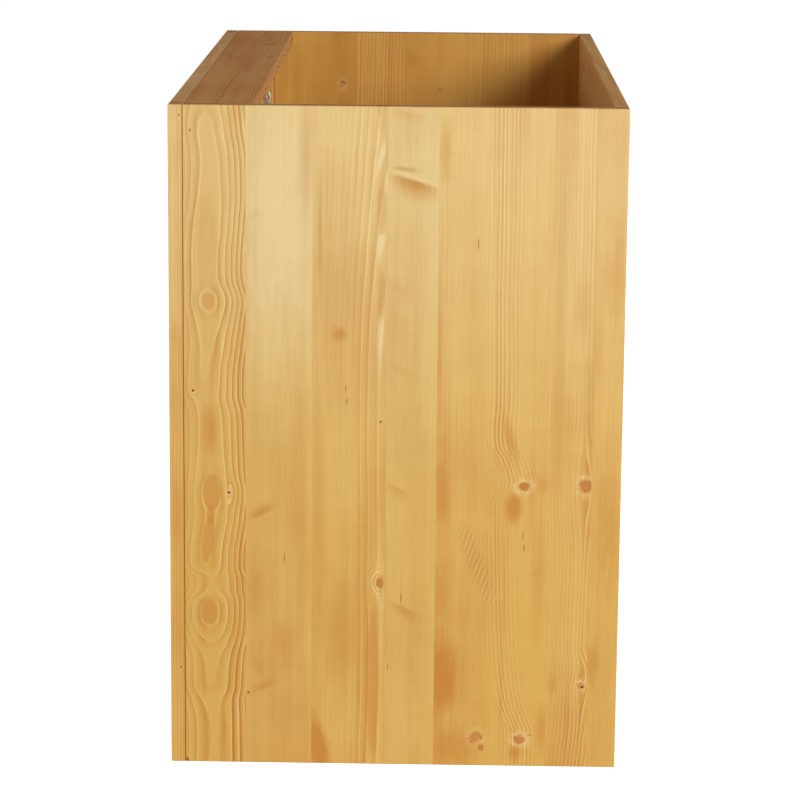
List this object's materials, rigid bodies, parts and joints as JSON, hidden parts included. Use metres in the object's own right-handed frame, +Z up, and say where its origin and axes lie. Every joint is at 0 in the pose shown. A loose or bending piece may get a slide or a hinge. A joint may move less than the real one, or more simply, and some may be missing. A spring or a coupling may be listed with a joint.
{
  "type": "corner base cabinet",
  "caption": "Blind-corner kitchen base cabinet in lacquered softwood, open at the top for a worktop, with a face frame, a fixed panel and a hinged door.",
  "frame": {"origin": "middle of the base of the whole part's box, on the floor", "axes": "+X to the right seen from the front, +Y to the back, +Z up"},
  "size_m": [1, 0.596, 0.85],
  "materials": {
    "pine": "honey-coloured satin lacquer on edge-glued softwood",
    "knob_wood": "turned and lacquered",
    "back_board": "thin veneered board",
    "dowel_wood": "plain beech",
    "nickel": "nickel-plated pressed steel",
    "zinc_steel": "zinc-plated steel",
    "felt": "thin felt"
  },
  "bodies": {
    "carcass": {"side_panel_left": "pine", "side_panel_right": "pine", "front_stretcher": "pine", "rear_top_rail": "pine", "rear_bottom_rail": "pine", "bottom_panel": "pine", "bottom_cleat_left": "pine", "bottom_cleat_right": "pine", "toe_board": "pine", "frame_stile_left": "pine", "frame_stile_right": "pine", "frame_mid_stile": "pine", "frame_top_rail": "pine", "frame_bottom_rail": "pine", "blind_panel": "pine", "hinge_batten": "pine", "door_stop": "pine", "shelf": "pine", "back_panel": "back_board", "carcass_dowels": "dowel_wood", "hinge_arm_upper": "nickel", "hinge_arm_lower": "nickel", "hinge_plate_upper": "nickel", "hinge_plate_lower": "nickel", "shelf_pins": "zinc_steel", "door_pads": "felt"},
    "door": {"door_stile_hinge": "pine", "door_stile_knob": "pine", "door_rail_top": "pine", "door_rail_bottom": "pine", "door_panel": "pine", "door_knob": "knob_wood", "knob_screw": "zinc_steel", "hinge_cup_upper": "nickel", "hinge_cup_lower": "nickel", "hinge_pin_upper": "nickel", "hinge_pin_lower": "nickel"}
  },
  "joints": [
    {"name": "door_swing", "type": "hinge", "parent": "carcass", "child": "door", "pos_m": [-0.438, -0.261, 0.478], "axis": [0, 0, -1], "range_deg": [0, 95]}
  ]
}
